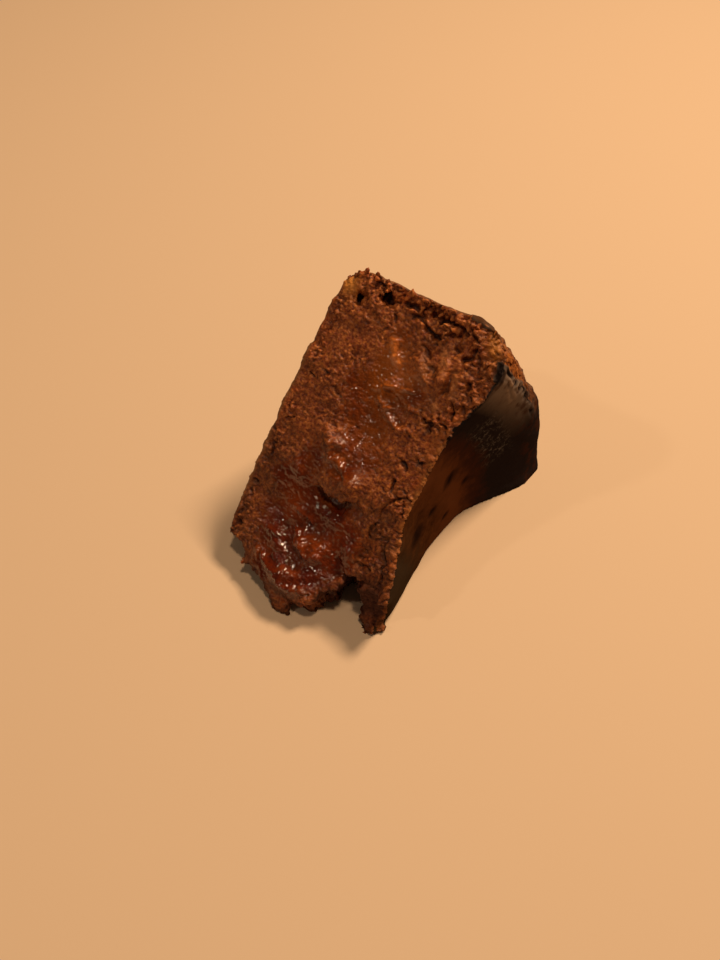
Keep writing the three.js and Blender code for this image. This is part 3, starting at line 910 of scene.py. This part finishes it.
# ---- Colours, linear ----
SOFT_DARK = (0.195, 0.049, 0.01)
SOFT_LIGHT = (0.46, 0.16, 0.05)
WET_DARK = (0.125, 0.017, 0.001)
WET_LIGHT = (0.3, 0.07, 0.005)
WET_DEEP = (0.09, 0.009, 0.001)
WET_DEEP_LIGHT = (0.22, 0.034, 0.001)
CRUMB_DARK = (0.14, 0.032, 0.009)
CRUMB_LIGHT = (0.42, 0.15, 0.05)
CRUMB_RUST = (0.42, 0.105, 0.018)
GRAIN_DARK = (0.56, 0.31, 0.26)
GRAIN_LIGHT = (1.25, 1.18, 0.85)
CREST_LIGHT_COLOUR = (0.62, 0.25, 0.08)
CREASE_SHADE_COLOUR = (0.06, 0.008, 0.003)
SHADE_COLOUR = (0.03, 0.004, 0.001)
TOOTH_DARK_AND_SHADE = (0.12, 0.022, 0.011)
PALE_COLOUR = (0.45, 0.17, 0.055)
HIGHLIGHT_COLOUR = (0.72, 0.22, 0.045)
SKIN_BROWN = (0.088, 0.032, 0.011)
SKIN_BROWN_DARK = (0.058, 0.021, 0.008)
SKIN_BROWN_WARM = (0.122, 0.042, 0.016)
SKIN_LOW = (0.046, 0.028, 0.015)
SKIN_RED = (0.048, 0.018, 0.011)
SKIN_BURNT = (0.021, 0.0145, 0.014)
SKIN_SHEEN = (0.18, 0.13, 0.1)
SKIN_FOLD_SHEEN = (0.4, 0.27, 0.19)
SKIN_GLINT_GREY = (0.16, 0.14, 0.13)
SKIN_SPOT = (0.018, 0.008, 0.005)
HUMP_COLOUR = (0.085, 0.034, 0.013)
BAKED_COLOUR = (0.36, 0.1, 0.018)
RIND_COLOUR = (0.5, 0.18, 0.035)
CHIP_LIGHT = (0.36, 0.12, 0.03)
CHIP_DARK = (0.07, 0.018, 0.008)
GOLD_COLOUR = (0.44, 0.15, 0.016)
GOLD_PAINTED_LIGHT = (0.9, 0.36, 0.06)
SIDE_LIGHT = (0.25, 0.095, 0.028)
GOLD_RIM = (0.56, 0.25, 0.035)
SIDE_DARK = (0.1, 0.033, 0.011)
FLOOR_COLOUR = (0.75, 0.56, 0.39)


def inner_colour(nodes):
    """The moist or crumbly inside of the cake."""
    soft = nodes.mix_colour(nodes.ramp(nodes.noise(1.8), 0.36, 0.66), SOFT_DARK, SOFT_LIGHT)
    dry = nodes.mix_colour("tint", CRUMB_DARK, CRUMB_LIGHT)
    dry = nodes.over(dry, nodes.ramp(nodes.noise(3.4), 0.48, 0.62), CRUMB_RUST, 0.7)
    colour = nodes.mix_colour("dry", soft, dry)
    # Painted light on the crests of the relief.
    colour = nodes.over(colour, "crest_light", CREST_LIGHT_COLOUR, 0.45)
    # Painted shade: dark patches from noise, standing in for shaded creases.
    colour = nodes.over(colour, nodes.ramp(nodes.noise(1.1, 4.0), 0.44, 0.34), CREASE_SHADE_COLOUR, 0.6)
    grains = nodes.mix_colour(nodes.ramp(nodes.noise(0.75), 0.34, 0.66), GRAIN_DARK, GRAIN_LIGHT)
    colour = nodes.times(colour, nodes.speckle(6.5, 0.78, 1.2))
    return nodes.times(nodes.times(colour, grains), "shade")


def wet_colour(nodes):
    """The glossy pools, deeper and redder towards the torn end."""
    bright = nodes.math("MAXIMUM", "warm", nodes.ramp(nodes.noise(6.0), 0.45, 0.75))
    upper = nodes.mix_colour(bright, WET_DARK, WET_LIGHT)
    lower = nodes.mix_colour(bright, WET_DEEP, WET_DEEP_LIGHT)
    return nodes.times(nodes.mix_colour("deep", upper, lower), nodes.speckle(1.6, 0.8, 1.2))


def crumb_colour(nodes):
    """The colour inside the cake, with its patches and borders, and painted shade on the torn end and in the
    pits.
    """
    colour = nodes.mix_colour("wet", inner_colour(nodes), wet_colour(nodes))
    # The tooth: dark red crumb and painted shade.
    colour = nodes.over(colour, "tooth", TOOTH_DARK_AND_SHADE, 0.5)
    # Painted highlights on the wet pool.
    colour = nodes.over(colour, "painted_highlight", HIGHLIGHT_COLOUR, nodes.speckle(1.2, 0.7, 1.0))
    colour = nodes.over(colour, "pale", PALE_COLOUR, nodes.ramp(nodes.noise(1.4), 0.3, 0.55))
    # Painted shade on the torn end and on the steep faces near it.
    colour = nodes.over(colour, "torn_shade", SHADE_COLOUR, 0.78)
    baked = nodes.product("baked", nodes.ramp("tint", 0.1, 0.8))
    colour = nodes.over(colour, baked, BAKED_COLOUR, 0.7)
    rim_line = nodes.mix_colour(nodes.ramp("cake_h", 12.0, 22.0), SIDE_LIGHT, GOLD_RIM)
    colour = nodes.mix_colour("side", colour, rim_line)
    # Near the base the gold is brighter: painted light on a lump that the lamps leave in shade.
    gold = nodes.mix_colour(nodes.ramp("cake_h", 8.0, 14.0), GOLD_PAINTED_LIGHT, GOLD_COLOUR)
    gold = nodes.times(gold, nodes.speckle(1.0, 0.6, 1.25))
    colour = nodes.mix_colour("gold", colour, gold)
    rind = nodes.times(RIND_COLOUR, nodes.speckle(1.2, 0.6, 1.2))
    colour = nodes.over(colour, "crust", rind, nodes.speckle(2.2, 0.2, 0.9))
    colour = nodes.mix_colour("burnt", colour, SKIN_BURNT)
    # Painted shade in the hollows and pits.
    return nodes.mix_colour("cavity_shade", colour, SHADE_COLOUR)


def make_crumb_material():
    material = bpy.data.materials.new("chocolate_crumb")
    nodes = Nodes(material)
    nodes.set(crumb_colour(nodes), "Base Color")
    nodes.set(0.35, "Specular IOR Level")
    rough = nodes.mix_number("wet", nodes.mix_number(nodes.noise(1.0), 0.2, 0.6), 0.1)
    rough = nodes.mix_number("dry", rough, 0.5)
    rough = nodes.mix_number("torn_shade", rough, 0.9)
    nodes.set(rough, "Roughness")
    nodes.set(nodes.product("wet", 0.68), "Coat Weight")
    nodes.set(0.06, "Coat Roughness")
    grains = nodes.mix_number("wet", nodes.noise(0.8, 5.0), nodes.noise(1.0, 1.0))
    nodes.bump(grains, nodes.mix_number("wet", 0.85, 0.75), 0.5)
    return material


def skin_colour(nodes):
    """Brown over the sunk middle with dark spots, red where it turns, burnt black at the rim, with painted
    sheen, glints and fold sheen near the rim.
    """
    ragged = nodes.product(nodes.math("SUBTRACT", nodes.noise(3.0), 0.5), 8.0)
    patchy = nodes.product(nodes.math("SUBTRACT", nodes.noise(12.0), 0.5), 9.0)
    place = nodes.math("ADD", "cake_r", nodes.math("ADD", patchy, ragged))
    brown = nodes.mix_colour(nodes.ramp(nodes.noise(5.0), 0.35, 0.65), SKIN_BROWN, SKIN_BROWN_DARK)
    brown = nodes.times(brown, nodes.speckle(1.3, 0.8, 1.2))
    brown = nodes.mix_colour(nodes.ramp(place, 46.0, 58.0), brown, SKIN_BROWN_WARM)
    brown = nodes.mix_colour(nodes.ramp(place, 44.0, 32.0), brown, SKIN_LOW)
    colour = nodes.mix_colour(nodes.ramp(place, 62.0, 68.0), brown, SKIN_RED)
    colour = nodes.mix_colour(nodes.ramp(place, 69.0, 74.0), colour, SKIN_BURNT)
    sheen = nodes.product(nodes.ramp("cake_r", 80.0, 87.2), nodes.ramp("level", 0.4, 0.75))
    colour = nodes.mix_colour(sheen, colour, SKIN_SHEEN)
    # Painted reddish glints at the outer rim.
    red_glints = nodes.product(nodes.ramp("cake_r", 83.0, 88.0), nodes.ramp(nodes.noise(4.0), 0.5, 0.62))
    colour = nodes.over(colour, red_glints, SKIN_RED, 0.7)
    # Painted sheen on the folds at the rim.
    colour = nodes.mix_colour("folds", colour, SKIN_FOLD_SHEEN)
    colour = nodes.mix_colour("spots", colour, SKIN_SPOT)
    # Painted glints: greyish threads on the burnt skin.
    colour = nodes.mix_colour(glint_threads(nodes), colour, SKIN_GLINT_GREY)
    colour = nodes.mix_colour("hump", colour, HUMP_COLOUR)
    colour = nodes.mix_colour("burnt", colour, SKIN_BURNT)
    return chipped(nodes, colour)


def glint_threads(nodes):
    """Greyish threads in one patch of the burnt skin, as painted glints."""
    along = nodes.product(nodes.ramp("cake_r", 71.0, 74.0), nodes.ramp("cake_r", 84.0, 79.0))
    across = nodes.product(nodes.ramp("level", 0.28, 0.4), nodes.ramp("level", 0.88, 0.76))
    broken = nodes.ramp(nodes.noise(2.4), 0.4, 0.55)
    patch = nodes.product(nodes.product(along, across), broken)
    return nodes.product(nodes.squiggles(1.9), nodes.product(patch, 0.6))


def chipped(nodes, colour):
    """Orange crumb where the skin has chipped off the rim, with burnt notches beside it, and painted shade
    in hollows.
    """
    crumb = nodes.mix_colour(nodes.ramp(nodes.noise(1.1, 5.0), 0.4, 0.66), CHIP_LIGHT, CHIP_DARK)
    colour = nodes.mix_colour("chips", colour, crumb)
    colour = nodes.mix_colour("notches", colour, SKIN_BURNT)
    # Painted shade in the hollows.
    return nodes.mix_colour("cavity_shade", colour, SKIN_BURNT)


def make_skin_material():
    material = bpy.data.materials.new("burnt_skin")
    nodes = Nodes(material)
    nodes.set(skin_colour(nodes), "Base Color")
    nodes.set(0.0, "Specular IOR Level")
    nodes.set(nodes.mix_number(nodes.noise(5.0), 0.35, 0.55), "Roughness")
    nodes.bump(nodes.noise(1.0), 0.5, 0.25)
    return material


def make_side_material():
    material = bpy.data.materials.new("baked_side")
    nodes = Nodes(material)
    mottled = nodes.ramp(nodes.noise(7.0, 8.0), 0.3, 0.7)
    colour = nodes.mix_colour(mottled, SIDE_LIGHT, SIDE_DARK)
    colour = nodes.over(colour, nodes.ramp("cake_h", 20.0, 52.0), SKIN_BROWN_DARK, 0.85)
    colour = nodes.times(colour, nodes.speckle(0.9, 0.7, 1.35))
    pores = nodes.product(nodes.pores(2.3), nodes.ramp(nodes.noise(6.0), 0.4, 0.6))
    # Painted shade in the pores.
    colour = nodes.over(colour, pores, SKIN_BURNT, 0.6)
    nodes.set(chipped(nodes, colour), "Base Color")
    nodes.set(0.3, "Specular IOR Level")
    nodes.set(nodes.mix_number(nodes.noise(3.0), 0.45, 0.7), "Roughness")
    height = nodes.math("SUBTRACT", nodes.noise(0.9, 6.0), nodes.product(pores, 0.8))
    nodes.bump(height, 1.0, 0.4)
    return material


# ---- Stage. Lengths in metres, power in watts ----

FLOOR_SIZE = 3.0
# Each light's name, direction, distance, size, power and colour, and the height that they shine at.
LIGHTS = (
    ("key", (0.142, 0.525, 0.839), 1.0, 0.18, 8.7, (1.0, 0.71, 0.45)),
    ("top", (0.1, -0.05, 1.0), 1.3, 0.1, 4.4, (1.0, 0.72, 0.46)),
    ("glint", (-0.34, -0.6, 0.72), 1.0, 0.04, 0.7, (1.0, 0.8, 0.6)),
)
LIGHTS_AIM = 0.03
WORLD_COLOUR = (1.0, 0.75, 0.5, 1.0)
WORLD_STRENGTH = 0.045


def make_floor():
    size = FLOOR_SIZE
    corners = [(-size, -size, 0), (size, -size, 0), (size, size, 0), (-size, size, 0)]
    mesh = bpy.data.meshes.new("floor")
    mesh.from_pydata(corners, [], [(0, 1, 2, 3)])
    floor = add_object("floor", mesh)
    material = bpy.data.materials.new("pale_floor")
    nodes = Nodes(material)
    nodes.set(FLOOR_COLOUR, "Base Color")
    nodes.set(0.9, "Roughness")
    mesh.materials.append(material)


def make_camera():
    forward = Vector((
        -math.sin(CAMERA_YAW) * math.cos(CAMERA_PITCH),
        math.cos(CAMERA_YAW) * math.cos(CAMERA_PITCH),
        -math.sin(CAMERA_PITCH),
    ))
    level_right = Vector((math.cos(CAMERA_YAW), math.sin(CAMERA_YAW), 0.0))
    level_up = level_right.cross(forward)
    right = level_right * math.cos(CAMERA_ROLL) + level_up * math.sin(CAMERA_ROLL)
    up = level_up * math.cos(CAMERA_ROLL) - level_right * math.sin(CAMERA_ROLL)
    camera = add_object("camera", bpy.data.cameras.new("camera"))
    matrix = Matrix((right, up, -forward)).transposed().to_4x4()
    matrix.translation = Vector(CAMERA_AT) * MM
    camera.matrix_world = matrix
    camera.data.lens = CAMERA_LENS
    camera.data.clip_start = 0.01
    bpy.context.scene.camera = camera


def make_light(name, direction, distance, size, power, colour):
    """A square soft light that shines from a direction at the slice."""
    light = bpy.data.lights.new(name, "AREA")
    light.size = size
    light.energy = power
    light.color = colour
    piece = add_object(name, light)
    towards = Vector(direction).normalized()
    piece.location = towards * distance + Vector((0.0, 0.0, LIGHTS_AIM))
    piece.rotation_euler = towards.to_track_quat("Z", "Y").to_euler()


def make_lights():
    for light in LIGHTS:
        make_light(*light)
    world = bpy.data.worlds.new("soft_room")
    world.use_nodes = True
    background = world.node_tree.nodes["Background"]
    background.inputs["Color"].default_value = WORLD_COLOUR
    background.inputs["Strength"].default_value = WORLD_STRENGTH
    bpy.context.scene.world = world


def main():
    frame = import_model()
    bpy.context.scene.view_settings.view_transform = "Standard"
    low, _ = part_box(NODE)
    origin = np.array([low.x / MM + BASE_BULGE, low.y / MM - TIP_INSET, 0.0])
    make_camera()
    crumb = make_crumb_material()
    piece, sites = make_slice(frame, origin)
    for material in (crumb, make_skin_material(), make_side_material()):
        piece.data.materials.append(material)
    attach(piece, "root")
    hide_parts(NODE)
    crumbs = make_crumbs(*sites)
    crumbs.data.materials.append(crumb)
    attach(crumbs, "root")
    make_floor()
    make_lights()


main()
